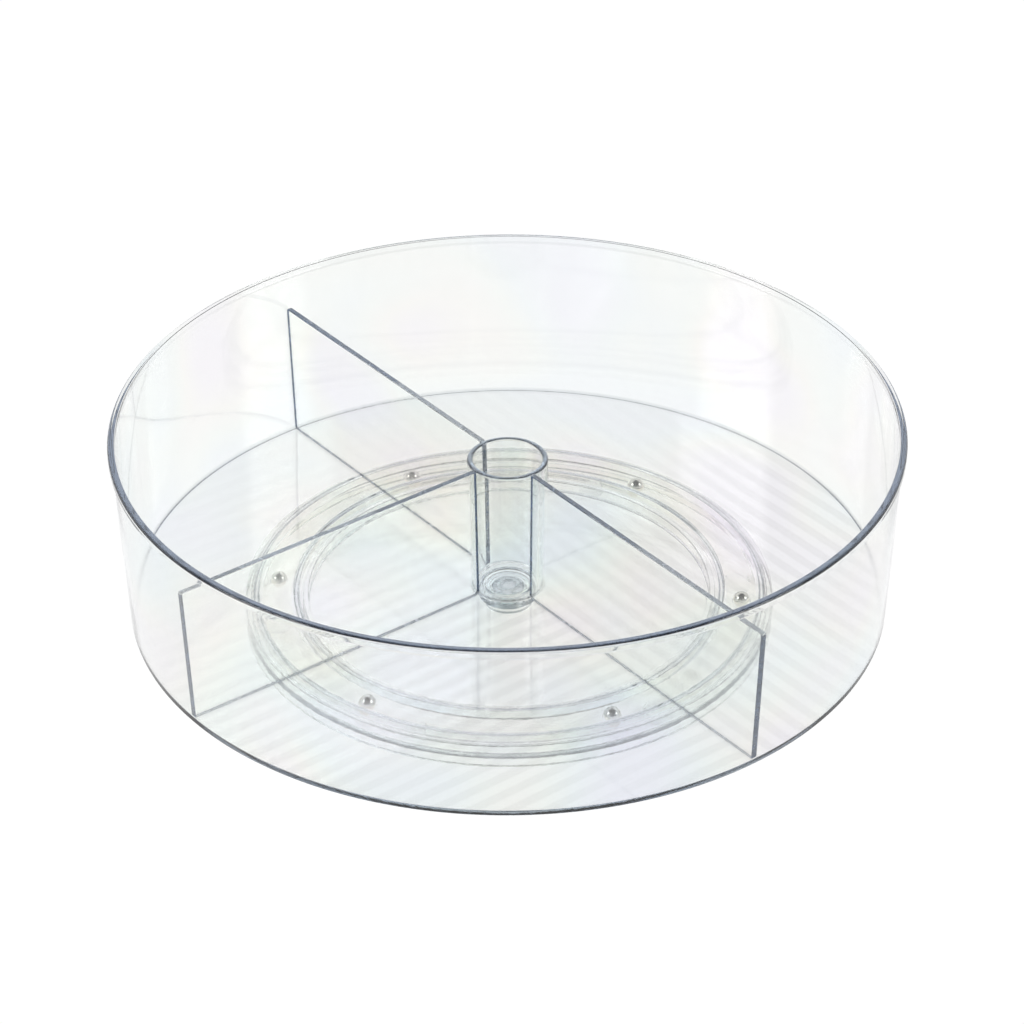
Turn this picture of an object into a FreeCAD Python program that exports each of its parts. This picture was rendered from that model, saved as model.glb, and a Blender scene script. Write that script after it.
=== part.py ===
import FreeCAD, Part
import math
import os

# Lazy susan turntable, all sizes in millimetres.
# A clear round tray with a centre tube and three upright dividers turns on six steel balls.
# The balls run in a ring on a flat base, which stands on six small pads.
#
# Frame: the origin is on the table under the centre of the turntable and +Z is the spin axis.
# The dividers stand along +Y, -X and -Y, so the half compartment is on the +X side.

# ---- driving dimensions ----

# tray
RIM_RADIUS = 146.0
TRAY_HEIGHT = 71.4
TRAY_FOOT_RADIUS = 142.0
FLOOR_THICKNESS = 1.4
WALL_THICKNESS = 1.8
RIM_BEAD = 0.9
RIM_BEAD_HEIGHT = 3.8
RIM_ROUND = 1.2
FLOOR_CORNER_RADIUS = 0.5

# centre tube and dividers
TUBE_HEIGHT = 54.7
TUBE_TOP_RADIUS = 15.0
TUBE_FOOT_RADIUS = 14.2
TUBE_WALL = 2.1
TUBE_FLARE = 0.8
DIVIDER_THICKNESS = 2.2
DIVIDER_CORNER = 1.0
DIVIDER_ANGLES = {"divider_rear": 90, "divider_side": 180, "divider_front": 270}
GLUE_LINE = 0.1

# ball bearing
BALL_DIAMETER = 6.35
BALL_COUNT = 6
BALL_CIRCLE_RADIUS = 88.0
FIRST_BALL_ANGLE = 17.4
BALL_PLAY = 0.05
TRACK_WIDTH = 13.2
CAGE_WIDTH = 10.8
CAGE_THICKNESS = 2.0
POCKET_CLEARANCE = 0.3
GUIDE_RIB = 1.8
GUIDE_RIB_DEPTH = 4.5

# base
BASE_RADIUS = 99.6
PLATE_THICKNESS = 2.3
SKIRT_THICKNESS = 2.3
SKIRT_BELOW_PLATE = 2.8
INNER_WALL_RADIUS = 78.0
INNER_WALL_THICKNESS = 2.0
BASE_WALL_GAP = 1.7
FOOT_RADIUS = 5.0
FOOT_COUNT = 6
FOOT_BELOW_SKIRT = 1.0

# centre pivot
SOCKET_RADIUS = 9.5
SOCKET_DEPTH = 2.6
JOURNAL_LENGTH = 4.0
COLLAR_RADIUS = 11.3
BUSH_RADIUS = 6.0
BUSH_FLANGE_RADIUS = 8.7
BUSH_FLANGE_THICKNESS = 1.5
RUNNING_CLEARANCE = 0.08
AXIAL_CLEARANCE = 0.3
BOSS_WALL = 3.0
BOSS_BELOW_PLATE = 1.2
LEG_SLOTS = 2
LEG_SLOT_WIDTH = 1.2
SNAP_LIP = 0.5
SNAP_LIP_HEIGHT = 1.0
PIN_RADIUS = 3.1
PIN_HEAD_RADIUS = 4.7
PIN_HEAD_THICKNESS = 0.9
PIN_DIMPLE_RADIUS = 3.0
PIN_DIMPLE_DEPTH = 0.4

# small shape details
EDGE_ROUND = 0.4
RIB_DRAFT = 0.2
PRESS_GAP = 0.05

# ---- heights, worked out from the table up ----

SKIRT_BOTTOM = FOOT_BELOW_SKIRT
PLATE_BOTTOM = SKIRT_BOTTOM + SKIRT_BELOW_PLATE
PLATE_TOP = PLATE_BOTTOM + PLATE_THICKNESS
TRAY_BOTTOM = PLATE_TOP + BALL_DIAMETER + BALL_PLAY
FLOOR_TOP = TRAY_BOTTOM + FLOOR_THICKNESS
RIM_TOP = TRAY_BOTTOM + TRAY_HEIGHT
TUBE_TOP = FLOOR_TOP + TUBE_HEIGHT
BASE_WALL_TOP = TRAY_BOTTOM - BASE_WALL_GAP
BALL_HEIGHT = (PLATE_TOP + TRAY_BOTTOM) / 2
RIB_BOTTOM = TRAY_BOTTOM - GUIDE_RIB_DEPTH
SOCKET_BOTTOM = FLOOR_TOP - SOCKET_DEPTH
COLLAR_BOTTOM = SOCKET_BOTTOM - JOURNAL_LENGTH
BOSS_BOTTOM = PLATE_BOTTOM - BOSS_BELOW_PLATE
BUSH_FLANGE_BOTTOM = SOCKET_BOTTOM + AXIAL_CLEARANCE
BUSH_TOP = BUSH_FLANGE_BOTTOM + BUSH_FLANGE_THICKNESS
SNAP_TOP = BOSS_BOTTOM - PRESS_GAP
BUSH_BOTTOM = SNAP_TOP - SNAP_LIP_HEIGHT

# ---- slopes: the tray wall and the centre tube both widen towards the top ----

WALL_SLOPE = (RIM_RADIUS - RIM_BEAD - TRAY_FOOT_RADIUS) / TRAY_HEIGHT
TUBE_SLOPE = (TUBE_TOP_RADIUS - TUBE_FOOT_RADIUS) / TUBE_HEIGHT


def wall_outside(height):
    """Outer radius of the tray wall, without the rim bead, at a height above the table."""
    return TRAY_FOOT_RADIUS + WALL_SLOPE * (height - TRAY_BOTTOM)


def wall_inside(height):
    """Inner radius of the tray wall at a height above the table."""
    return wall_outside(height) - WALL_THICKNESS


def tube_outside(height):
    """Outer radius of the centre tube at a height above the table."""
    return TUBE_FOOT_RADIUS + TUBE_SLOPE * (height - FLOOR_TOP)


def rounded_corner(before, point, after, radius):
    """Start, middle and end of the arc that rounds one corner of an outline."""
    to_before = (before - point).normalize()
    to_after = (after - point).normalize()
    half_angle = to_before.getAngle(to_after) / 2
    reach = radius / math.tan(half_angle)
    inward = (to_before + to_after).normalize()
    middle = point + inward * (radius / math.sin(half_angle) - radius)
    return point + to_before * reach, middle, point + to_after * reach


def outline_face(points):
    """Face in the XZ plane inside an outline of (radius, height, corner radius) points."""
    spots = [FreeCAD.Vector(radius, 0, height) for radius, height, _ in points]
    corners = []
    for index, (_, _, corner_radius) in enumerate(points):
        before = spots[index - 1]
        after = spots[(index + 1) % len(spots)]
        if corner_radius:
            corners.append(rounded_corner(before, spots[index], after, corner_radius))
        else:
            corners.append((spots[index],))
    edges = []
    for index, spot in enumerate(corners):
        following = corners[(index + 1) % len(corners)]
        if len(spot) == 3:
            edges.append(Part.Arc(*spot).toShape())
        edges.append(Part.LineSegment(spot[-1], following[0]).toShape())
    return Part.Face(Part.Wire(edges))


def lathed(points):
    """Solid of revolution about the spin axis from an outline."""
    return outline_face(points).revolve(FreeCAD.Vector(), FreeCAD.Vector(0, 0, 1), 360)


def spun(shape, angle):
    """Copy of a shape turned about the spin axis by an angle in degrees."""
    copy = shape.copy()
    copy.rotate(FreeCAD.Vector(), FreeCAD.Vector(0, 0, 1), angle)
    return copy


def on_circle(radius, angle, height):
    """Point at an angle in degrees on a level circle about the spin axis."""
    turn = math.radians(angle)
    return FreeCAD.Vector(radius * math.cos(turn), radius * math.sin(turn), height)


def ball_angles():
    """Angles of the bearing balls about the spin axis, in degrees."""
    return [FIRST_BALL_ANGLE + index * 360 / BALL_COUNT for index in range(BALL_COUNT)]


def rib_outline(outer_radius):
    """Outline, from outside to inside, of one guide rib under the tray floor."""
    inner_radius = outer_radius - GUIDE_RIB
    return [
        (outer_radius, TRAY_BOTTOM, 0),
        (outer_radius - RIB_DRAFT, RIB_BOTTOM, EDGE_ROUND),
        (inner_radius + RIB_DRAFT, RIB_BOTTOM, EDGE_ROUND),
        (inner_radius, TRAY_BOTTOM, 0),
    ]


def make_tray():
    """Floor, leaning wall with a beaded rim, two guide ribs and the pivot collar."""
    bead_bottom = RIM_TOP - RIM_BEAD_HEIGHT
    track_outside = BALL_CIRCLE_RADIUS + TRACK_WIDTH / 2
    track_inside = BALL_CIRCLE_RADIUS - TRACK_WIDTH / 2
    journal_radius = BUSH_RADIUS + RUNNING_CLEARANCE
    outline = [
        (SOCKET_RADIUS, FLOOR_TOP, EDGE_ROUND),
        (wall_inside(FLOOR_TOP), FLOOR_TOP, FLOOR_CORNER_RADIUS),
        (wall_inside(RIM_TOP), RIM_TOP, EDGE_ROUND),
        (RIM_RADIUS, RIM_TOP, RIM_ROUND),
        (RIM_RADIUS, bead_bottom + RIM_BEAD, EDGE_ROUND),
        (wall_outside(bead_bottom), bead_bottom, EDGE_ROUND),
        (TRAY_FOOT_RADIUS, TRAY_BOTTOM, EDGE_ROUND),
    ]
    outline += rib_outline(track_outside + GUIDE_RIB)
    outline += rib_outline(track_inside)
    outline += [
        (COLLAR_RADIUS, TRAY_BOTTOM, 0),
        (COLLAR_RADIUS - RIB_DRAFT, COLLAR_BOTTOM, EDGE_ROUND),
        (journal_radius, COLLAR_BOTTOM, 0),
        (journal_radius, SOCKET_BOTTOM, 0),
        (SOCKET_RADIUS, SOCKET_BOTTOM, 0),
    ]
    return lathed(outline)


def make_centre_tube():
    """Open tube that widens slightly upwards and flares where it stands on the floor."""
    foot = FLOOR_TOP + GLUE_LINE
    inside_foot = TUBE_FOOT_RADIUS - TUBE_WALL
    inside_top = TUBE_TOP_RADIUS - TUBE_WALL
    return lathed([
        (inside_foot, foot, 0),
        (TUBE_FOOT_RADIUS + TUBE_FLARE, foot, 0),
        (TUBE_FOOT_RADIUS + TUBE_FLARE, foot + EDGE_ROUND, 0),
        (tube_outside(foot + EDGE_ROUND), foot + EDGE_ROUND, TUBE_FLARE - EDGE_ROUND),
        (TUBE_TOP_RADIUS, TUBE_TOP, EDGE_ROUND),
        (inside_top, TUBE_TOP, EDGE_ROUND),
    ])


def make_divider(angle):
    """Upright plate from the centre tube to the wall, its lower corners clear of the fillets."""
    bottom = FLOOR_TOP + GLUE_LINE
    tube_relief = TUBE_FLARE + EDGE_ROUND + GLUE_LINE
    wall_relief = FLOOR_CORNER_RADIUS + GLUE_LINE
    tube_face = tube_outside(bottom) + GLUE_LINE
    outline = [
        (tube_face + tube_relief, bottom, 0),
        (wall_inside(bottom) - wall_relief, bottom, 0),
        (wall_inside(bottom + wall_relief) - GLUE_LINE, bottom + wall_relief, 0),
        (wall_inside(TUBE_TOP) - GLUE_LINE, TUBE_TOP, DIVIDER_CORNER),
        (tube_outside(TUBE_TOP) + GLUE_LINE, TUBE_TOP, 0),
        (tube_outside(bottom + tube_relief) + GLUE_LINE, bottom + tube_relief, 0),
    ]
    face = outline_face(outline)
    face.translate(FreeCAD.Vector(0, -DIVIDER_THICKNESS / 2, 0))
    return spun(face.extrude(FreeCAD.Vector(0, DIVIDER_THICKNESS, 0)), angle)


def make_base_plate():
    """Flat disc with an outer skirt, an inner track wall and a boss for the pivot bush."""
    hole = BUSH_RADIUS + PRESS_GAP
    skirt_inside = BASE_RADIUS - SKIRT_THICKNESS
    inner_wall_inside = INNER_WALL_RADIUS - INNER_WALL_THICKNESS
    return lathed([
        (hole, PLATE_TOP, 0),
        (hole, BOSS_BOTTOM, 0),
        (hole + BOSS_WALL, BOSS_BOTTOM, EDGE_ROUND),
        (hole + BOSS_WALL, PLATE_BOTTOM, 0),
        (skirt_inside, PLATE_BOTTOM, 0),
        (skirt_inside, SKIRT_BOTTOM, EDGE_ROUND),
        (BASE_RADIUS, SKIRT_BOTTOM, EDGE_ROUND),
        (BASE_RADIUS, BASE_WALL_TOP, EDGE_ROUND),
        (skirt_inside, BASE_WALL_TOP, EDGE_ROUND),
        (skirt_inside, PLATE_TOP, EDGE_ROUND),
        (INNER_WALL_RADIUS, PLATE_TOP, EDGE_ROUND),
        (INNER_WALL_RADIUS, BASE_WALL_TOP, EDGE_ROUND),
        (inner_wall_inside, BASE_WALL_TOP, EDGE_ROUND),
        (inner_wall_inside, PLATE_TOP, EDGE_ROUND),
    ])


def make_ball(angle):
    """One steel bearing ball between the base track and the tray floor."""
    return Part.makeSphere(BALL_DIAMETER / 2, on_circle(BALL_CIRCLE_RADIUS, angle, BALL_HEIGHT))


def make_ball_cage():
    """Flat ring with a round pocket for each ball, at the height of the ball centres."""
    outside = BALL_CIRCLE_RADIUS + CAGE_WIDTH / 2
    inside = BALL_CIRCLE_RADIUS - CAGE_WIDTH / 2
    top = BALL_HEIGHT + CAGE_THICKNESS / 2
    bottom = BALL_HEIGHT - CAGE_THICKNESS / 2
    cage = lathed([
        (inside, bottom, EDGE_ROUND),
        (outside, bottom, EDGE_ROUND),
        (outside, top, EDGE_ROUND),
        (inside, top, EDGE_ROUND),
    ])
    pocket_radius = BALL_DIAMETER / 2 + POCKET_CLEARANCE
    for angle in ball_angles():
        below = on_circle(BALL_CIRCLE_RADIUS, angle, bottom - CAGE_THICKNESS)
        cage = cage.cut(Part.makeCylinder(pocket_radius, 3 * CAGE_THICKNESS, below))
    return cage


def make_pivot_bush():
    """Flanged sleeve that the tray turns on, with split legs that snap under the base boss."""
    bore = PIN_RADIUS + PRESS_GAP
    recess = PIN_HEAD_RADIUS + PRESS_GAP
    recess_bottom = BUSH_TOP - PIN_HEAD_THICKNESS - PRESS_GAP
    bush = lathed([
        (bore, BUSH_BOTTOM, 0),
        (BUSH_RADIUS - SNAP_LIP, BUSH_BOTTOM, 0),
        (BUSH_RADIUS + SNAP_LIP, SNAP_TOP, 0),
        (BUSH_RADIUS, SNAP_TOP, 0),
        (BUSH_RADIUS, BUSH_FLANGE_BOTTOM, 0),
        (BUSH_FLANGE_RADIUS, BUSH_FLANGE_BOTTOM, EDGE_ROUND),
        (BUSH_FLANGE_RADIUS, BUSH_TOP, EDGE_ROUND),
        (recess, BUSH_TOP, 0),
        (recess, recess_bottom, 0),
        (bore, recess_bottom, 0),
    ])
    slot_length = 4 * BUSH_RADIUS
    slot_height = PLATE_TOP - BUSH_BOTTOM + SNAP_LIP_HEIGHT
    corner = FreeCAD.Vector(-slot_length / 2, -LEG_SLOT_WIDTH / 2, BUSH_BOTTOM - SNAP_LIP_HEIGHT)
    slot = Part.makeBox(slot_length, LEG_SLOT_WIDTH, slot_height, corner)
    for index in range(LEG_SLOTS):
        bush = bush.cut(spun(slot, index * 180 / LEG_SLOTS))
    return bush


def make_pivot_pin():
    """Pin that holds the legs of the bush apart, its dimpled head flush with the flange."""
    head_bottom = BUSH_TOP - PIN_HEAD_THICKNESS
    dimple_bottom = BUSH_TOP - PIN_DIMPLE_DEPTH
    return lathed([
        (0, BUSH_BOTTOM, 0),
        (PIN_RADIUS, BUSH_BOTTOM, EDGE_ROUND),
        (PIN_RADIUS, head_bottom, 0),
        (PIN_HEAD_RADIUS, head_bottom, 0),
        (PIN_HEAD_RADIUS, BUSH_TOP, EDGE_ROUND / 2),
        (PIN_DIMPLE_RADIUS, BUSH_TOP, 0),
        (PIN_DIMPLE_RADIUS, dimple_bottom, 0),
        (0, dimple_bottom, 0),
    ])


def make_foot(angle):
    """Soft round pad stuck under the base plate, standing a little below the skirt."""
    foot = lathed([
        (0, 0, 0),
        (FOOT_RADIUS, 0, EDGE_ROUND),
        (FOOT_RADIUS, PLATE_BOTTOM - PRESS_GAP, EDGE_ROUND),
        (0, PLATE_BOTTOM - PRESS_GAP, 0),
    ])
    foot.translate(on_circle(BALL_CIRCLE_RADIUS, angle, 0))
    return foot


def make_parts():
    """Every piece of the turntable, by node name."""
    pieces = {
        "tray": make_tray(),
        "centre_tube": make_centre_tube(),
        "base_plate": make_base_plate(),
        "ball_cage": make_ball_cage(),
        "pivot_bush": make_pivot_bush(),
        "pivot_pin": make_pivot_pin(),
    }
    for name, angle in DIVIDER_ANGLES.items():
        pieces[name] = make_divider(angle)
    for number, angle in enumerate(ball_angles(), start=1):
        pieces[f"ball_{number}"] = make_ball(angle)
    for number in range(1, FOOT_COUNT + 1):
        pieces[f"foot_{number}"] = make_foot((number - 0.5) * 360 / FOOT_COUNT)
    return pieces


os.makedirs("parts", exist_ok=True)
for node, shape in make_parts().items():
    shape.exportStep(f"parts/{node}.step")
    box = shape.BoundBox
    heights = f"z {box.ZMin:.2f} to {box.ZMax:.2f}"
    print(node, "solids", len(shape.Solids), "valid", shape.isValid(), f"{shape.Volume:.1f} mm3", heights)
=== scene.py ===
import math

import bmesh
import bpy
from mathutils import Matrix, Vector


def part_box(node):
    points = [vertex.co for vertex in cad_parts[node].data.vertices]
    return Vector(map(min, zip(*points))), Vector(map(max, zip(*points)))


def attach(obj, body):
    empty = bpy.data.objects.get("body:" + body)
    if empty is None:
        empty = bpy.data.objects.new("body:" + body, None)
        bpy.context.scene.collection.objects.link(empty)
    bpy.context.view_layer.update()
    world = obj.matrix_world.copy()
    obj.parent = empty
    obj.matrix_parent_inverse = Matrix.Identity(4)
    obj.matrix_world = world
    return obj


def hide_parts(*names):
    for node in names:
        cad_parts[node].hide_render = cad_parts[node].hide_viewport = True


# Looks of the lazy susan turntable: clear moulded plastic, steel balls and a milky cage,
# on a white light table. Lengths are metres and angles are degrees.

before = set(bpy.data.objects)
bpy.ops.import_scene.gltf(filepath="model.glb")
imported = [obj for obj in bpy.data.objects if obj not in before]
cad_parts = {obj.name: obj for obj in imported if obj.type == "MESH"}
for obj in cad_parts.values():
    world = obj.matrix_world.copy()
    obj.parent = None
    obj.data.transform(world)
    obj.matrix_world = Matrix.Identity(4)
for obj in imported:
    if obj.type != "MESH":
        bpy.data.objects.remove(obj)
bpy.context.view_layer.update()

MM = 0.001
WHITE = (1.0, 1.0, 1.0, 1.0)

# ---- places read from the frame ----

tray_low, tray_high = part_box("tray")
tube_low, tube_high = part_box("centre_tube")
base_low, base_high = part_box("base_plate")
cage_low, cage_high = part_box("ball_cage")
bush_low, bush_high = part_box("pivot_bush")
pin_low, pin_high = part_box("pivot_pin")
ball_low, ball_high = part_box("ball_1")

BALL_COUNT = 6
FOOT_COUNT = 6
DIVIDER_ANGLES = {"divider_rear": 90, "divider_side": 180, "divider_front": 270}

# ---- sizes of the mouldings ----

GLUE_LINE = 0.1 * MM
PRESS_GAP = 0.05 * MM
EDGE_ROUND = 0.4 * MM

RIM_RADIUS = tray_high.x
RIM_TOP = tray_high.z
COLLAR_BOTTOM = tray_low.z
TRAY_FOOT_RADIUS = 142.0 * MM
FLOOR_THICKNESS = 1.4 * MM
WALL_THICKNESS = 1.8 * MM
RIM_BEAD = 0.9 * MM
RIM_BEAD_HEIGHT = 3.8 * MM
RIM_ROUND = 1.2 * MM
FLOOR_CORNER_RADIUS = 0.5 * MM
FLOOR_TOP = tube_low.z - GLUE_LINE
TRAY_BOTTOM = FLOOR_TOP - FLOOR_THICKNESS

TUBE_TOP = tube_high.z
TUBE_FLARE = 0.8 * MM
TUBE_WIDENING = 0.8 * MM
TUBE_FOOT_RADIUS = tube_high.x - TUBE_FLARE
TUBE_TOP_RADIUS = TUBE_FOOT_RADIUS + TUBE_WIDENING
TUBE_WALL = 2.1 * MM
DIVIDER_CORNER = 1.0 * MM
SHEET_ROUND = 0.45 * MM

BALL_RADIUS = (ball_high.z - ball_low.z) / 2
BALL_CIRCLE_RADIUS = math.hypot(*((ball_low + ball_high) / 2).xy)
TRACK_WIDTH = 13.2 * MM
CAGE_WIDTH = 10.8 * MM
POCKET_CLEARANCE = 0.3 * MM
POCKET_ROUND = 0.15 * MM
BALL_PLAY = 0.025 * MM
GUIDE_RIB = 1.8 * MM
GUIDE_RIB_DEPTH = 4.5 * MM
RIB_DRAFT = 0.2 * MM
RIB_FILLET = 0.3 * MM

BASE_RADIUS = base_high.x
BASE_WALL_TOP = base_high.z
SKIRT_BOTTOM = base_low.z
PLATE_THICKNESS = 2.3 * MM
PLATE_TOP = ball_low.z - BALL_PLAY
PLATE_BOTTOM = PLATE_TOP - PLATE_THICKNESS
BOSS_RAISE = 1.6 * MM
BOSS_BOTTOM = SKIRT_BOTTOM + BOSS_RAISE
SKIRT_THICKNESS = 2.3 * MM
INNER_WALL_RADIUS = 78.0 * MM
INNER_WALL_THICKNESS = 2.0 * MM
BOSS_WALL = 3.0 * MM

SOCKET_RADIUS = 9.5 * MM
SOCKET_DEPTH = 2.6 * MM
SOCKET_BOTTOM = FLOOR_TOP - SOCKET_DEPTH
COLLAR_RADIUS = 11.3 * MM
BUSH_RADIUS = 6.0 * MM
JOURNAL_CLEARANCE = 0.08 * MM
BUSH_FLANGE_RADIUS = bush_high.x
BUSH_FLANGE_THICKNESS = 1.5 * MM
SNAP_LIP = 0.5 * MM
SNAP_LIP_HEIGHT = 1.0 * MM
LEG_SLOT_WIDTH = 1.2 * MM
PIN_RADIUS = 3.1 * MM
PIN_HEAD_RADIUS = pin_high.x
PIN_HEAD_THICKNESS = 0.9 * MM
PIN_DIMPLE_RADIUS = 3.0 * MM
PIN_DIMPLE_DEPTH = 0.4 * MM
FOOT_RADIUS = 5.0 * MM

# ---- how finely the meshes are cut ----

TURNS_LARGE = 360
TURNS_SMALL = 128
TURNS_BALL = 96
TURNS_TINY = 72
HALF_CIRCLE_STEPS = 48
CORNER_STEPS = 6
WELD_DISTANCE = MM / 1000
SHARP_ANGLE = 50
BUSH_SHARP_ANGLE = 35

# ---- material slots of a divider, and the upward slopes of its top roundings ----

SHEET_SLOT = 0
EDGE_SLOT = 1
ROUNDING_SLOPES = (0.1, 0.9)


# ---- outlines and meshes ----

def wall_outside(height):
    """Outer radius of the tray wall, without the rim bead, at a height above the table."""
    slope = (RIM_RADIUS - RIM_BEAD - TRAY_FOOT_RADIUS) / (RIM_TOP - TRAY_BOTTOM)
    return TRAY_FOOT_RADIUS + slope * (height - TRAY_BOTTOM)


def wall_inside(height):
    """Inner radius of the tray wall at a height above the table."""
    return wall_outside(height) - WALL_THICKNESS


def tube_outside(height):
    """Outer radius of the centre tube at a height above the table."""
    slope = (TUBE_TOP_RADIUS - TUBE_FOOT_RADIUS) / (TUBE_TOP - FLOOR_TOP)
    return TUBE_FOOT_RADIUS + slope * (height - FLOOR_TOP)


def arc_points(before, corner, after, radius):
    """Points of the arc that rounds one corner of an outline."""
    to_before = (before - corner).normalized()
    to_after = (after - corner).normalized()
    half_angle = to_before.angle(to_after) / 2
    centre = corner + (to_before + to_after).normalized() * (radius / math.sin(half_angle))
    start = corner + to_before * (radius / math.tan(half_angle)) - centre
    end = corner + to_after * (radius / math.tan(half_angle)) - centre
    sweep = math.pi - 2 * half_angle
    points = []
    for step in range(CORNER_STEPS + 1):
        share = step / CORNER_STEPS
        blend = start * math.sin((1 - share) * sweep) + end * math.sin(share * sweep)
        points.append(centre + blend / math.sin(sweep))
    return points


def outline_points(corners):
    """Closed outline through (radius, height, corner radius) corners, with its rounds cut."""
    spots = [Vector((radius, height)) for radius, height, _ in corners]
    points = []
    for index, (_, _, corner_radius) in enumerate(corners):
        if corner_radius:
            after = spots[(index + 1) % len(spots)]
            points += arc_points(spots[index - 1], spots[index], after, corner_radius)
        else:
            points.append(spots[index])
    return points


def new_object(name, mesh_data):
    """Object of a bmesh in the scene."""
    mesh = bpy.data.meshes.new(name)
    mesh_data.to_mesh(mesh)
    mesh_data.free()
    made = bpy.data.objects.new(name, mesh)
    bpy.context.scene.collection.objects.link(made)
    return made


def finished(name, mesh_data):
    """New object of a bmesh, welded, with outward faces and smooth shading."""
    bmesh.ops.remove_doubles(mesh_data, verts=mesh_data.verts, dist=WELD_DISTANCE)
    bmesh.ops.recalc_face_normals(mesh_data, faces=mesh_data.faces)
    for face in mesh_data.faces:
        face.smooth = True
    return new_object(name, mesh_data)


def keep_flats(piece, sharp_angle=SHARP_ANGLE):
    """Sharpens the shading of hard edges and keeps broad faces flat beside their fillets."""
    piece.data.set_sharp_from_angle(angle=math.radians(sharp_angle))
    weighted = piece.modifiers.new("flat_faces", "WEIGHTED_NORMAL")
    weighted.weight = 100
    weighted.keep_sharp = True
    return piece


def lathed(name, corners, turns):
    """Closed mesh of an outline turned about the spin axis."""
    outline = outline_points(corners)
    mesh_data = bmesh.new()
    rings = []
    for turn in range(turns):
        angle = math.tau * turn / turns
        across = Vector((math.cos(angle), math.sin(angle)))
        ring = [mesh_data.verts.new((*(across * point.x), point.y)) for point in outline]
        rings.append(ring)
    for turn, ring in enumerate(rings):
        following = rings[(turn + 1) % turns]
        for index, vert in enumerate(ring):
            onward = (index + 1) % len(ring)
            if outline[index].x == 0 and outline[onward].x == 0:
                continue
            mesh_data.faces.new((vert, ring[onward], following[onward], following[index]))
    bmesh.ops.dissolve_degenerate(mesh_data, dist=WELD_DISTANCE, edges=mesh_data.edges)
    return finished(name, mesh_data)


def inset_loop(loop, distance):
    """Closed loop of 2-D points moved inwards by a distance."""
    moved = []
    for index, point in enumerate(loop):
        before = (point - loop[index - 1]).normalized()
        after = (loop[(index + 1) % len(loop)] - point).normalized()
        along = (before + after).normalized()
        inward = Vector((-along.y, along.x))
        moved.append(point + inward * (distance / max(0.2, along.dot(before))))
    return moved


def upright(plan_angle):
    """Function that puts a plate's points in the upright plane at a plan angle."""
    turn = Matrix.Rotation(math.radians(plan_angle), 3, "Z")
    return lambda point, level: turn @ Vector((point.x, level, point.y))


def plate(name, loop, thickness, edge_round, place, edge_slot=SHEET_SLOT):
    """Flat plate with rounded edges from an anticlockwise loop, put in place by a function."""
    levels = []
    for side in (-1, 1):
        for step in range(CORNER_STEPS + 1):
            share = step / CORNER_STEPS if side == 1 else 1 - step / CORNER_STEPS
            tilt = share * math.pi / 2
            inset = edge_round * (1 - math.cos(tilt))
            level = side * (thickness / 2 - edge_round * (1 - math.sin(tilt)))
            levels.append((inset, level))
    mesh_data = bmesh.new()
    rings = []
    for inset, level in levels:
        inner_loop = inset_loop(loop, inset)
        rings.append([mesh_data.verts.new(place(point, level)) for point in inner_loop])
    for lower, upper in zip(rings, rings[1:]):
        for index in range(len(loop)):
            onward = (index + 1) % len(loop)
            edge = mesh_data.faces.new((lower[index], lower[onward], upper[onward], upper[index]))
            edge.material_index = edge_slot
    mesh_data.faces.new(rings[0])
    mesh_data.faces.new(rings[-1])
    return finished(name, mesh_data)


def cut_away(piece, cutters):
    """Cuts the cutter meshes out of a piece and removes them."""
    for cutter in cutters:
        cut = piece.modifiers.new("cut", "BOOLEAN")
        cut.operation = "DIFFERENCE"
        cut.solver = "EXACT"
        cut.object = cutter
    graph = bpy.context.evaluated_depsgraph_get()
    mesh = bpy.data.meshes.new_from_object(piece.evaluated_get(graph))
    piece.modifiers.clear()
    piece.data = mesh
    for cutter in cutters:
        bpy.data.objects.remove(cutter)
    return piece


# ---- node helpers ----

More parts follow.
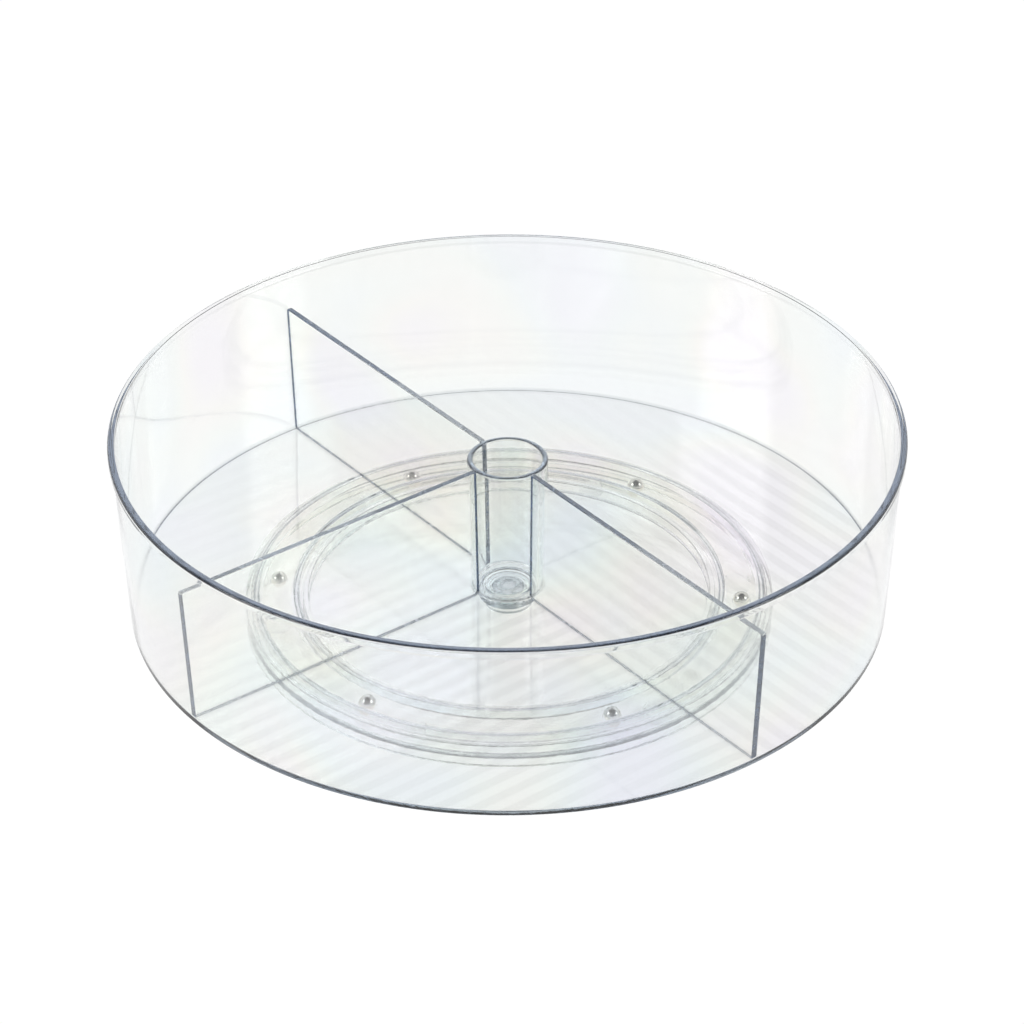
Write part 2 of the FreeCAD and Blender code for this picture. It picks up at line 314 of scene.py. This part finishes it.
class Nodes:
    """Short calls for building one node tree."""

    def __init__(self, tree):
        self.tree = tree
        tree.nodes.clear()

    def plug(self, socket, value):
        """Links another node's output to a socket, or sets the socket's own value."""
        if isinstance(value, bpy.types.NodeSocket):
            self.tree.links.new(value, socket)
        else:
            socket.default_value = value

    def node(self, kind, inputs=None, **settings):
        made = self.tree.nodes.new(kind)
        for key, value in settings.items():
            setattr(made, key, value)
        for key, value in (inputs or {}).items():
            self.plug(made.inputs[key], value)
        return made

    def object_place(self):
        """Place in the object's own coordinates, which ride with its body."""
        return self.node("ShaderNodeTexCoord").outputs["Object"]

    def math(self, operation, first, second=0.0, clamp=False):
        made = self.node("ShaderNodeMath", {0: first, 1: second}, operation=operation)
        made.use_clamp = clamp
        return made.outputs[0]

    def vector(self, operation, first, second=(0.0, 0.0, 0.0)):
        made = self.node("ShaderNodeVectorMath", {0: first, 1: second}, operation=operation)
        return made.outputs["Value" if operation == "DOT_PRODUCT" else "Vector"]

    def smooth(self, value, low, high, start=0.0, end=1.0):
        """value taken smoothly from start at low to end at high."""
        made = self.node(
            "ShaderNodeMapRange",
            {"Value": value, "From Min": low, "From Max": high, "To Min": start, "To Max": end},
            interpolation_type="SMOOTHSTEP",
        )
        return made.outputs["Result"]

    def ramp(self, value, stops):
        """Colour read off a ramp of (position, colour) stops."""
        made = self.node("ShaderNodeValToRGB", {"Fac": value})
        made.color_ramp.elements[0].position = stops[0][0]
        made.color_ramp.elements[0].color = (*stops[0][1], 1)
        made.color_ramp.elements[1].position = stops[-1][0]
        made.color_ramp.elements[1].color = (*stops[-1][1], 1)
        for position, colour in stops[1:-1]:
            made.color_ramp.elements.new(position).color = (*colour, 1)
        return made.outputs["Color"]

    def noise(self, where, scale, detail=2.0, stretch=None):
        """Noise with about scale lumps to the metre."""
        if stretch:
            where = self.vector("MULTIPLY", where, stretch)
        made = self.node(
            "ShaderNodeTexNoise",
            {"Vector": where, "Scale": scale, "Detail": detail, "Roughness": 0.5},
        )
        return made.outputs["Fac"]

    def bump(self, strength, distance, height, under=None):
        """Normal bent by a height, on top of another normal if one is given."""
        inputs = {"Strength": strength, "Distance": distance, "Height": height}
        if under:
            inputs["Normal"] = under
        return self.node("ShaderNodeBump", inputs).outputs["Normal"]

    def mix(self, share, first, second, blend="MIX"):
        """Two colours mixed by a share."""
        inputs = {0: share, 6: first, 7: second}
        return self.node("ShaderNodeMix", inputs, data_type="RGBA", blend_type=blend).outputs[2]

    def blend(self, share, first, second):
        """Two numbers blended by a share."""
        return self.node("ShaderNodeMix", {0: share, 2: first, 3: second}).outputs[0]

    def finish(self, shader, depth=None):
        """Ends a material with its surface and, for tinted plastic, its absorbing depth."""
        output = self.node("ShaderNodeOutputMaterial", {"Surface": shader.outputs[0]})
        if depth:
            self.plug(output.inputs["Volume"], depth.outputs["Volume"])


def new_material(name):
    """Empty node material and its helper."""
    material = bpy.data.materials.new(name)
    material.use_nodes = True
    return material, Nodes(material.node_tree)


# ---- materials ----

TRAY_DENSITY = 22.0
TUBE_DENSITY = 14.0
BASE_DENSITY = 4.0
PIVOT_DENSITY = 40.0
PIVOT_RING_PITCH = 1.1 * MM
ABSORPTION_COLOUR = (0.20, 0.30, 0.45)
PLASTIC_IOR = 1.57
EDGE_IOR = 1.01
CAGE_IOR = 1.04
PAD_IOR = 1.12
# Painted reflection bands on the tray floor: pitch, colour, drift and fade towards the rear.
BAND_PITCH = 8.0 * MM
PAINTED_REFLECTION_BAND = (0.86, 0.86, 0.86)
BAND_DRIFT = 1.5
BAND_FADE = (-30 * MM, 60 * MM)
REAR_BAND_STRENGTH = 0.2
# Painted shade: even darkening of the tray floor that stands in for the shade under the tray.
FLOOR_PAINTED_SHADE = (0.83, 0.845, 0.855)


def pastel_tint(tree, where):
    """Very pale rainbow clouds, as strain in a moulding shows between bright surroundings."""
    cloud = tree.noise(where, 14.0, detail=1.0)
    return tree.ramp(cloud, [
        (0.30, (0.965, 0.97, 1.0)),
        (0.42, (0.965, 0.99, 0.99)),
        (0.50, (0.985, 1.0, 0.975)),
        (0.58, (1.0, 0.99, 0.965)),
        (0.70, (0.985, 0.965, 0.985)),
    ])


def scratches(tree, where):
    """Fine hairline scratches as a height from 0 to 1."""
    fine = tree.noise(where, 900.0, stretch=(1.0, 0.06, 1.0))
    cross = tree.noise(where, 900.0, stretch=(0.06, 1.0, 1.0))
    return tree.math("MULTIPLY", tree.math("ADD", fine, cross), 0.5)


def turned_rings(tree, where, pitch):
    """Fine rings about the spin axis, broken up by the grain of a rough moulding."""
    flat = tree.vector("MULTIPLY", where, (1.0, 1.0, 0.0))
    away = tree.node("ShaderNodeVectorMath", {0: flat}, operation="LENGTH").outputs["Value"]
    ring = tree.math("SINE", tree.math("MULTIPLY", away, math.tau / pitch))
    grain = tree.noise(where, 500.0)
    return tree.math("ADD", tree.math("MULTIPLY", ring, 0.25), tree.math("MULTIPLY", grain, 2.0))


def clear_plastic(name, density, bands=False, gloss_range=(0.012, 0.03), ring_pitch=0.0):
    """Clear moulded plastic with a blue-grey depth, faint strain colours and fine scratches; with
    bands, the floor also gets painted reflection bands and painted shade.
    """
    material, tree = new_material(name)
    where = tree.object_place()
    colour = pastel_tint(tree, where)
    height = scratches(tree, where)
    flow = tree.noise(where, 28.0, detail=1.0)
    if ring_pitch:
        flow = turned_rings(tree, where, ring_pitch)
    # painted reflection bands and painted shade on the tray floor
    if bands:
        colour = tree.mix(1.0, colour, floor_painted_reflections_and_shade(tree, where), blend="MULTIPLY")
    scratched = tree.bump(0.25, 0.02 * MM, height)
    gloss = tree.smooth(height, 0.42, 0.62, *gloss_range)
    shader = tree.node("ShaderNodeBsdfPrincipled", {
        "Base Color": colour,
        "Roughness": gloss,
        "IOR": PLASTIC_IOR,
        "Transmission Weight": 1.0,
        "Normal": tree.bump(0.35, 0.2 * MM, flow, scratched),
    })
    depth = None
    if density:
        depth = tree.node("ShaderNodeVolumeAbsorption", {
            "Color": (*ABSORPTION_COLOUR, 1.0),
            "Density": density,
        })
    tree.finish(shader, depth)
    return material


def floor_painted_reflections_and_shade(tree, where):
    """Painted reflection and painted shade on the floor: soft straight bands of painted
    reflection, which run along the side divider on its side and across it opposite, and fade
    towards the rear, over an even painted darkening of the floor."""
    place = tree.node("ShaderNodeSeparateXYZ", {"Vector": where})
    x, y, z = place.outputs
    wobble = tree.noise(where, 14.0, detail=1.0)
    drift = tree.math("MULTIPLY", wobble, BAND_DRIFT)

    def bands(along):
        phase = tree.math("ADD", tree.math("MULTIPLY", along, math.tau / BAND_PITCH), drift)
        return tree.smooth(tree.math("SINE", phase), -0.5, 0.5)

    wave = tree.blend(tree.smooth(x, -4 * MM, 4 * MM), bands(y), bands(x))
    fade = tree.smooth(y, *BAND_FADE, 1.0, REAR_BAND_STRENGTH)
    strength = tree.math("MULTIPLY", tree.smooth(wobble, 0.15, 0.5), fade)
    below_wall = tree.smooth(z, FLOOR_TOP + 0.2 * MM, FLOOR_TOP + MM, 1.0, 0.0)
    above_ribs = tree.smooth(z, FLOOR_TOP - MM, FLOOR_TOP - 0.5 * MM)
    on_floor = tree.math("MULTIPLY", below_wall, above_ribs)
    share = tree.math("MULTIPLY", wave, strength, clamp=True)
    # painted reflection: the bands mixed in as darker colour
    shade = tree.mix(share, WHITE, (*PAINTED_REFLECTION_BAND, 1.0))
    # painted shade over the whole floor
    shade = tree.mix(1.0, shade, (*FLOOR_PAINTED_SHADE, 1.0), blend="MULTIPLY")
    return tree.mix(on_floor, WHITE, shade)


def milky_plastic(name):
    """Natural, slightly yellow plastic of the ball cage, which passes light but blurs it."""
    material, tree = new_material(name)
    where = tree.object_place()
    cloud = tree.noise(where, 60.0, detail=3.0)
    colour = tree.ramp(cloud, [(0.35, (0.99, 0.98, 0.95)), (0.65, (1.0, 1.0, 0.985))])
    grain = tree.noise(where, 1500.0)
    shader = tree.node("ShaderNodeBsdfPrincipled", {
        "Base Color": colour,
        "Roughness": tree.smooth(grain, 0.3, 0.7, 0.15, 0.22),
        "IOR": CAGE_IOR,
        "Transmission Weight": 1.0,
        "Normal": tree.bump(0.3, 0.03 * MM, grain),
    })
    tree.finish(shader)
    return material


def edge_with_painted_lines(name):
    """Edge faces of a clear sheet, painted with blue-grey lines that stand in for refraction and
    light trapped in the sheet: dark on upright edges, paler on upward ones.
    """
    material, tree = new_material(name)
    where = tree.object_place()
    streak = tree.noise(where, 260.0, detail=3.0)
    # Painted light and shade: pale grey painted on the upward top edges, dark blue-grey painted
    # on the upright edges; the streak noise only varies the tone along them.
    polished = tree.ramp(streak, [(0.34, (0.60, 0.65, 0.72)), (0.66, (0.76, 0.81, 0.88))])
    painted_dark_line = tree.ramp(streak, [(0.34, (0.015, 0.035, 0.09)), (0.66, (0.05, 0.09, 0.20))])
    normal = tree.node("ShaderNodeNewGeometry").outputs["True Normal"]
    upward = tree.node("ShaderNodeSeparateXYZ", {"Vector": normal}).outputs["Z"]
    colour = tree.mix(tree.smooth(upward, 0.3, 0.8), painted_dark_line, polished)
    shader = tree.node("ShaderNodeBsdfPrincipled", {
        "Base Color": colour,
        "Roughness": tree.smooth(streak, 0.3, 0.7, 0.16, 0.3),
        "IOR": EDGE_IOR,
        "Transmission Weight": 0.6,
        "Coat Weight": 0.5,
        "Normal": tree.bump(0.3, 0.04 * MM, tree.noise(where, 1800.0)),
    })
    tree.finish(shader)
    return material


def bearing_steel(name):
    """Polished chrome steel with hair-fine polishing marks."""
    material, tree = new_material(name)
    where = tree.object_place()
    marks = tree.noise(where, 2500.0, detail=3.0, stretch=(1.0, 0.2, 1.0))
    haze = tree.noise(where, 400.0)
    shader = tree.node("ShaderNodeBsdfPrincipled", {
        "Base Color": tree.ramp(haze, [(0.3, (0.84, 0.82, 0.78)), (0.7, (0.90, 0.88, 0.84))]),
        "Metallic": 1.0,
        "Roughness": tree.smooth(haze, 0.3, 0.7, 0.04, 0.09),
        "Normal": tree.bump(0.08, 0.01 * MM, marks),
    })
    tree.finish(shader)
    return material


def soft_pad(name):
    """Clear soft rubber of the feet, a little cloudy."""
    material, tree = new_material(name)
    where = tree.object_place()
    cloud = tree.noise(where, 300.0, detail=3.0)
    grain = tree.noise(where, 2500.0, detail=1.0)
    shader = tree.node("ShaderNodeBsdfPrincipled", {
        "Base Color": tree.ramp(cloud, [(0.3, (0.93, 0.94, 0.95)), (0.7, (0.98, 0.985, 0.99))]),
        "Roughness": tree.smooth(cloud, 0.3, 0.7, 0.1, 0.2),
        "IOR": PAD_IOR,
        "Transmission Weight": 1.0,
        "Normal": tree.bump(0.2, 0.02 * MM, grain),
    })
    tree.finish(shader)
    return material


# ---- pieces ----

def settle(piece, materials, slot, body, *nodes):
    """Gives a piece its finish, its body and the CAD nodes that it stands for."""
    for material in materials if isinstance(materials, tuple) else (materials,):
        piece.data.materials.append(material)
    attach(piece, body)
    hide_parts(*nodes)
    return piece


def rib_outline(outer_radius):
    """Outline, from outside to inside, of one guide rib under the tray floor."""
    inner_radius = outer_radius - GUIDE_RIB
    rib_bottom = TRAY_BOTTOM - GUIDE_RIB_DEPTH
    return [
        (outer_radius, TRAY_BOTTOM, RIB_FILLET),
        (outer_radius - RIB_DRAFT, rib_bottom, EDGE_ROUND),
        (inner_radius + RIB_DRAFT, rib_bottom, EDGE_ROUND),
        (inner_radius, TRAY_BOTTOM, RIB_FILLET),
    ]


def make_tray(material):
    """Floor, leaning wall with a beaded rim, two guide ribs and the pivot collar."""
    bead_bottom = RIM_TOP - RIM_BEAD_HEIGHT
    corners = [
        (SOCKET_RADIUS, FLOOR_TOP, EDGE_ROUND),
        (wall_inside(FLOOR_TOP), FLOOR_TOP, FLOOR_CORNER_RADIUS),
        (wall_inside(RIM_TOP), RIM_TOP, EDGE_ROUND),
        (RIM_RADIUS, RIM_TOP, RIM_ROUND),
        (RIM_RADIUS, bead_bottom + RIM_BEAD, EDGE_ROUND),
        (wall_outside(bead_bottom), bead_bottom, EDGE_ROUND),
        (TRAY_FOOT_RADIUS, TRAY_BOTTOM, EDGE_ROUND),
    ]
    corners += rib_outline(BALL_CIRCLE_RADIUS + TRACK_WIDTH / 2 + GUIDE_RIB)
    corners += rib_outline(BALL_CIRCLE_RADIUS - TRACK_WIDTH / 2)
    corners += [
        (COLLAR_RADIUS, TRAY_BOTTOM, RIB_FILLET),
        (COLLAR_RADIUS - RIB_DRAFT, COLLAR_BOTTOM, EDGE_ROUND),
        (BUSH_RADIUS + JOURNAL_CLEARANCE, COLLAR_BOTTOM, EDGE_ROUND / 2),
        (BUSH_RADIUS + JOURNAL_CLEARANCE, SOCKET_BOTTOM, EDGE_ROUND / 2),
        (SOCKET_RADIUS, SOCKET_BOTTOM, EDGE_ROUND / 2),
    ]
    tray = keep_flats(lathed("clear_tray", corners, TURNS_LARGE))
    return settle(tray, material, "clear_plastic", "tray", "tray")


def make_centre_tube(material):
    """Open tube that widens slightly upwards and flares where it stands on the floor."""
    foot = tube_low.z
    lip = foot + EDGE_ROUND
    corners = [
        (TUBE_FOOT_RADIUS - TUBE_WALL, foot, EDGE_ROUND / 2),
        (TUBE_FOOT_RADIUS + TUBE_FLARE, foot, EDGE_ROUND / 4),
        (TUBE_FOOT_RADIUS + TUBE_FLARE, lip, EDGE_ROUND / 4),
        (tube_outside(lip), lip, EDGE_ROUND / 2),
        (TUBE_TOP_RADIUS, TUBE_TOP, 2 * EDGE_ROUND),
        (TUBE_TOP_RADIUS - TUBE_WALL, TUBE_TOP, 2 * EDGE_ROUND),
    ]
    tube = keep_flats(lathed("clear_tube", corners, TURNS_SMALL))
    return settle(tube, material, "clear_plastic", "tray", "centre_tube")


def make_divider(node, angle, materials):
    """Upright plate from the centre tube to the wall, its lower corners clear of the fillets.
    The roundings along its top edge stay as clear as its faces."""
    low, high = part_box(node)
    thickness = min(high.x - low.x, high.y - low.y)
    bottom = FLOOR_TOP + GLUE_LINE
    tube_relief = TUBE_FLARE + EDGE_ROUND + GLUE_LINE
    wall_relief = FLOOR_CORNER_RADIUS + GLUE_LINE
    corners = [
        (tube_outside(bottom) + GLUE_LINE + tube_relief, bottom, EDGE_ROUND),
        (wall_inside(bottom) - wall_relief, bottom, EDGE_ROUND),
        (wall_inside(bottom + wall_relief) - GLUE_LINE, bottom + wall_relief, EDGE_ROUND),
        (wall_inside(TUBE_TOP) - GLUE_LINE, TUBE_TOP, DIVIDER_CORNER),
        (tube_outside(TUBE_TOP) + GLUE_LINE, TUBE_TOP, EDGE_ROUND),
        (tube_outside(bottom + tube_relief) + GLUE_LINE, bottom + tube_relief, EDGE_ROUND),
    ]
    divider = plate(
        f"clear_{node}", outline_points(corners), thickness, SHEET_ROUND, upright(angle),
        edge_slot=EDGE_SLOT,
    )
    # Sloped top roundings take the clear sheet material; the other edge faces keep the edge
    # material with painted lines.
    for face in divider.data.polygons:
        if ROUNDING_SLOPES[0] < face.normal.z < ROUNDING_SLOPES[1]:
            face.material_index = SHEET_SLOT
    return settle(keep_flats(divider), materials, "clear_plastic", "tray", node)


def make_base(material):
    """Flat disc with an outer skirt, an inner track wall and a boss for the pivot bush."""
    hole = BUSH_RADIUS + PRESS_GAP
    skirt_inside = BASE_RADIUS - SKIRT_THICKNESS
    inner_wall_inside = INNER_WALL_RADIUS - INNER_WALL_THICKNESS
    fine = EDGE_ROUND / 2
    corners = [
        (hole, PLATE_TOP, fine),
        (hole, BOSS_BOTTOM, fine),
        (hole + BOSS_WALL, BOSS_BOTTOM, EDGE_ROUND),
        (hole + BOSS_WALL, PLATE_BOTTOM, fine),
        (skirt_inside, PLATE_BOTTOM, EDGE_ROUND),
        (skirt_inside, SKIRT_BOTTOM, EDGE_ROUND),
        (BASE_RADIUS, SKIRT_BOTTOM, EDGE_ROUND),
        (BASE_RADIUS, BASE_WALL_TOP, EDGE_ROUND),
        (skirt_inside, BASE_WALL_TOP, EDGE_ROUND),
        (skirt_inside, PLATE_TOP, EDGE_ROUND),
        (INNER_WALL_RADIUS, PLATE_TOP, EDGE_ROUND),
        (INNER_WALL_RADIUS, BASE_WALL_TOP, EDGE_ROUND),
        (inner_wall_inside, BASE_WALL_TOP, EDGE_ROUND),
        (inner_wall_inside, PLATE_TOP, EDGE_ROUND),
    ]
    base = keep_flats(lathed("clear_base", corners, TURNS_LARGE))
    return settle(base, material, "base_plastic", "base", "base_plate")


def make_bush(material):
    """Flanged sleeve on the base boss, with split legs that snap under it."""
    bore = PIN_RADIUS + PRESS_GAP
    recess = PIN_HEAD_RADIUS + PRESS_GAP
    recess_bottom = bush_high.z - PIN_HEAD_THICKNESS - PRESS_GAP
    flange_bottom = bush_high.z - BUSH_FLANGE_THICKNESS
    snap_top = bush_low.z + SNAP_LIP_HEIGHT
    fine = EDGE_ROUND / 4
    corners = [
        (bore, bush_low.z, fine),
        (BUSH_RADIUS - SNAP_LIP, bush_low.z, fine),
        (BUSH_RADIUS + SNAP_LIP, snap_top, fine),
        (BUSH_RADIUS, snap_top, fine),
        (BUSH_RADIUS, flange_bottom, fine),
        (BUSH_FLANGE_RADIUS, flange_bottom, EDGE_ROUND),
        (BUSH_FLANGE_RADIUS, bush_high.z, EDGE_ROUND),
        (recess, bush_high.z, fine),
        (recess, recess_bottom, fine),
        (bore, recess_bottom, fine),
    ]
    bush = lathed("clear_bush", corners, TURNS_SMALL)
    reach = 2 * BUSH_RADIUS
    slot_top = PLATE_TOP + SNAP_LIP_HEIGHT
    slot_bottom = bush_low.z - SNAP_LIP_HEIGHT
    loop = [
        Vector((-reach, slot_bottom)),
        Vector((reach, slot_bottom)),
        Vector((reach, slot_top)),
        Vector((-reach, slot_top)),
    ]
    slots = [
        plate(f"leg_slot_{angle}", loop, LEG_SLOT_WIDTH, fine, upright(angle))
        for angle in (0, 90)
    ]
    keep_flats(cut_away(bush, slots), BUSH_SHARP_ANGLE)
    return settle(bush, material, "base_plastic", "base", "pivot_bush")


def make_pin(material):
    """Pin that holds the legs of the bush apart, its dimpled head flush with the flange."""
    head_bottom = pin_high.z - PIN_HEAD_THICKNESS
    dimple_bottom = pin_high.z - PIN_DIMPLE_DEPTH
    corners = [
        (0, pin_low.z, 0),
        (PIN_RADIUS, pin_low.z, EDGE_ROUND),
        (PIN_RADIUS, head_bottom, EDGE_ROUND / 2),
        (PIN_HEAD_RADIUS, head_bottom, EDGE_ROUND / 2),
        (PIN_HEAD_RADIUS, pin_high.z, EDGE_ROUND / 2),
        (PIN_DIMPLE_RADIUS, pin_high.z, EDGE_ROUND / 4),
        (PIN_DIMPLE_RADIUS, dimple_bottom, EDGE_ROUND / 4),
        (0, dimple_bottom, 0),
    ]
    pin = keep_flats(lathed("clear_pin", corners, TURNS_SMALL))
    return settle(pin, material, "base_plastic", "base", "pivot_pin")


def moved_mesh(piece, offset):
    """Moves a piece's mesh, so that its object stays at the origin."""
    piece.data.transform(Matrix.Translation(offset))
    return piece


def make_cage(material):
    """Flat ring with a round pocket for each ball."""
    corners = [
        (BALL_CIRCLE_RADIUS - CAGE_WIDTH / 2, cage_low.z, EDGE_ROUND),
        (BALL_CIRCLE_RADIUS + CAGE_WIDTH / 2, cage_low.z, EDGE_ROUND),
        (BALL_CIRCLE_RADIUS + CAGE_WIDTH / 2, cage_high.z, EDGE_ROUND),
        (BALL_CIRCLE_RADIUS - CAGE_WIDTH / 2, cage_high.z, EDGE_ROUND),
    ]
    cage = lathed("milky_cage", corners, TURNS_LARGE)
    pocket = BALL_RADIUS + POCKET_CLEARANCE
    reach = 2 * (cage_high.z - cage_low.z)
    cutters = []
    for number in range(1, BALL_COUNT + 1):
        low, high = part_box(f"ball_{number}")
        centre = (low + high) / 2
        cutter = lathed(f"pocket_{number}", [
            (0, -reach, 0),
            (pocket, -reach, 0),
            (pocket, reach, 0),
            (0, reach, 0),
        ], TURNS_TINY)
        cutters.append(moved_mesh(cutter, centre))
    cut_away(cage, cutters)
    rounding = cage.modifiers.new("pocket_edges", "BEVEL")
    rounding.width = POCKET_ROUND
    rounding.segments = 2
    rounding.limit_method = "ANGLE"
    rounding.angle_limit = math.radians(SHARP_ANGLE)
    keep_flats(cage)
    return settle(cage, material, "cage_plastic", "cage", "ball_cage")


def make_ball(number, material):
    """One polished bearing ball, turned from a half-circle outline."""
    low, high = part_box(f"ball_{number}")
    half_circle = []
    for step in range(HALF_CIRCLE_STEPS + 1):
        angle = math.pi * (step / HALF_CIRCLE_STEPS - 0.5)
        at_pole = step in (0, HALF_CIRCLE_STEPS)
        across = 0 if at_pole else BALL_RADIUS * math.cos(angle)
        half_circle.append((across, BALL_RADIUS * math.sin(angle), 0))
    ball = lathed(f"steel_ball_{number}", half_circle, TURNS_BALL)
    moved_mesh(ball, (low + high) / 2)
    return settle(ball, material, "ball_steel", f"ball_{number}", f"ball_{number}")


def make_foot(number, material):
    """Soft round pad under the base plate, with a rounded edge where it meets the table."""
    low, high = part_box(f"foot_{number}")
    centre = (low + high) / 2
    pad = lathed(f"soft_foot_{number}", [
        (0, low.z, 0),
        (FOOT_RADIUS, low.z, 2 * EDGE_ROUND),
        (FOOT_RADIUS, high.z, EDGE_ROUND),
        (0, high.z, 0),
    ], TURNS_TINY)
    moved_mesh(keep_flats(pad), (centre.x, centre.y, 0))
    return settle(pad, material, "foot_rubber", "base", f"foot_{number}")


# ---- light table, studio and camera ----

TABLE_RADIUS = 6.0
TABLE_TURNS = 96
TABLE_GLOW = 1.02

CAMERA_PLAN_ANGLE = -127.374
CAMERA_REACH = 1.0589
CAMERA_HEIGHT = 0.7283
CAMERA_PITCH = 32.847
CAMERA_PAN = 0.084
CAMERA_ROLL = -0.260
CAMERA_LENS = 118.96

HORIZON_LIGHT = 1.0
ROOF_LIGHT = 0.04
ROOF_START_FRONT = (8, 28)
ROOF_START_REAR = (45, 60)
REAR_BLEND = (0.0, 0.4)
SOFTBOX_LIGHT = 4.0
SOFTBOX_TURN = 75
SOFTBOX_ELEVATION = 35
SOFTBOX_HALF_WIDTH = 16
SOFTBOX_EDGE = 0.02

LIGHT_BOUNCES = 40


def make_table():
    """Round white light table, which is not seen from underneath."""
    mesh_data = bmesh.new()
    bmesh.ops.create_circle(mesh_data, cap_ends=True, segments=TABLE_TURNS, radius=TABLE_RADIUS)
    table = new_object("light_table", mesh_data)
    material, tree = new_material("glowing_white")
    glow = tree.node("ShaderNodeEmission", {"Strength": TABLE_GLOW})
    clear = tree.node("ShaderNodeBsdfTransparent")
    back = tree.node("ShaderNodeNewGeometry").outputs["Backfacing"]
    tree.finish(tree.node(
        "ShaderNodeMixShader", {0: back, 1: glow.outputs[0], 2: clear.outputs[0]},
    ))
    table.data.materials.append(material)


def direction(plan_angle, elevation):
    """Unit vector towards a plan angle and an elevation."""
    flat = math.cos(math.radians(elevation))
    turn = math.radians(plan_angle)
    return (flat * math.cos(turn), flat * math.sin(turn), math.sin(math.radians(elevation)))


def make_studio():
    """White horizon under a dark roof that hangs low in front and high at the rear, with two
    softboxes at the sides. The camera itself sees plain white behind the object."""
    world = bpy.data.worlds.new("studio")
    world.use_nodes = True
    bpy.context.scene.world = world
    tree = Nodes(world.node_tree)
    where = tree.node("ShaderNodeTexCoord").outputs["Generated"]
    height = tree.node("ShaderNodeSeparateXYZ", {"Vector": where}).outputs["Z"]

    def roof(elevations):
        low, high = (math.sin(math.radians(elevation)) for elevation in elevations)
        return tree.smooth(height, low, high, HORIZON_LIGHT, ROOF_LIGHT)

    rearward = tree.vector("DOT_PRODUCT", where, direction(CAMERA_PLAN_ANGLE + 180, 0))
    share = tree.smooth(rearward, *REAR_BLEND)
    level = tree.blend(share, roof(ROOF_START_FRONT), roof(ROOF_START_REAR))
    edge = math.cos(math.radians(SOFTBOX_HALF_WIDTH))
    for turn in (-SOFTBOX_TURN, SOFTBOX_TURN):
        middle = direction(CAMERA_PLAN_ANGLE + turn, SOFTBOX_ELEVATION)
        toward = tree.vector("DOT_PRODUCT", where, middle)
        box_light = tree.smooth(toward, edge, edge + SOFTBOX_EDGE, 0.0, SOFTBOX_LIGHT)
        level = tree.math("ADD", level, box_light)
    seen = tree.node("ShaderNodeLightPath").outputs["Is Camera Ray"]
    strength = tree.blend(seen, level, 1.0)
    glow = tree.node("ShaderNodeBackground", {"Color": WHITE, "Strength": strength})
    tree.node("ShaderNodeOutputWorld", {"Surface": glow.outputs[0]})


def make_camera():
    """Camera looking down across the front quarter of the tray."""
    camera = bpy.data.objects.new("camera", bpy.data.cameras.new("camera"))
    bpy.context.scene.collection.objects.link(camera)
    camera.data.lens = CAMERA_LENS
    camera.data.sensor_width = 36.0
    camera.data.clip_start = 0.01
    camera.data.clip_end = 50.0
    turn = math.radians(CAMERA_PLAN_ANGLE)
    place = Vector((CAMERA_REACH * math.cos(turn), CAMERA_REACH * math.sin(turn), CAMERA_HEIGHT))
    heading = math.radians(CAMERA_PLAN_ANGLE + 180 - CAMERA_PAN)
    drop = math.radians(CAMERA_PITCH)
    ahead = Vector((math.cos(heading) * math.cos(drop), math.sin(heading) * math.cos(drop),
                    -math.sin(drop)))
    across = ahead.cross(Vector((0, 0, 1))).normalized()
    above = across.cross(ahead)
    roll = math.radians(CAMERA_ROLL)
    right = across * math.cos(roll) + above * math.sin(roll)
    up = above * math.cos(roll) - across * math.sin(roll)
    turned = Matrix((right, up, -ahead)).transposed().to_4x4()
    camera.matrix_world = Matrix.Translation(place) @ turned
    bpy.context.scene.camera = camera


def set_light_paths():
    """Enough bounces for light that runs down inside the wall, and plain white levels."""
    scene = bpy.context.scene
    scene.cycles.max_bounces = LIGHT_BOUNCES
    scene.cycles.glossy_bounces = LIGHT_BOUNCES
    scene.cycles.transmission_bounces = LIGHT_BOUNCES
    scene.cycles.transparent_max_bounces = 16
    scene.view_settings.view_transform = "Standard"


# ---- the whole turntable ----

# The tray floor carries painted reflection bands and painted shade.
tray_plastic = clear_plastic("clear_tray_plastic", TRAY_DENSITY, bands=True)
tube_plastic = clear_plastic("clear_tube_plastic", TUBE_DENSITY)
sheet_plastic = clear_plastic("clear_sheet_plastic", 0.0)
base_plastic = clear_plastic("clear_base_plastic", BASE_DENSITY, gloss_range=(0.05, 0.1))
pivot_plastic = clear_plastic("clear_pivot_plastic", PIVOT_DENSITY, ring_pitch=PIVOT_RING_PITCH)
# Divider edges with painted dark and pale lines that stand in for refraction.
painted_edge_lines = edge_with_painted_lines("sheet_edge_painted_lines")
cage_plastic = milky_plastic("milky_cage_plastic")
steel = bearing_steel("polished_bearing_steel")
rubber = soft_pad("clear_soft_rubber")

make_tray(tray_plastic)
make_centre_tube(tube_plastic)
for divider_node, divider_angle in DIVIDER_ANGLES.items():
    make_divider(divider_node, divider_angle, (sheet_plastic, painted_edge_lines))
make_base(base_plastic)
make_bush(pivot_plastic)
make_pin(pivot_plastic)
make_cage(cage_plastic)
for ball_number in range(1, BALL_COUNT + 1):
    make_ball(ball_number, steel)
for foot_number in range(1, FOOT_COUNT + 1):
    make_foot(foot_number, rubber)

make_table()
make_studio()
make_camera()
set_light_paths()
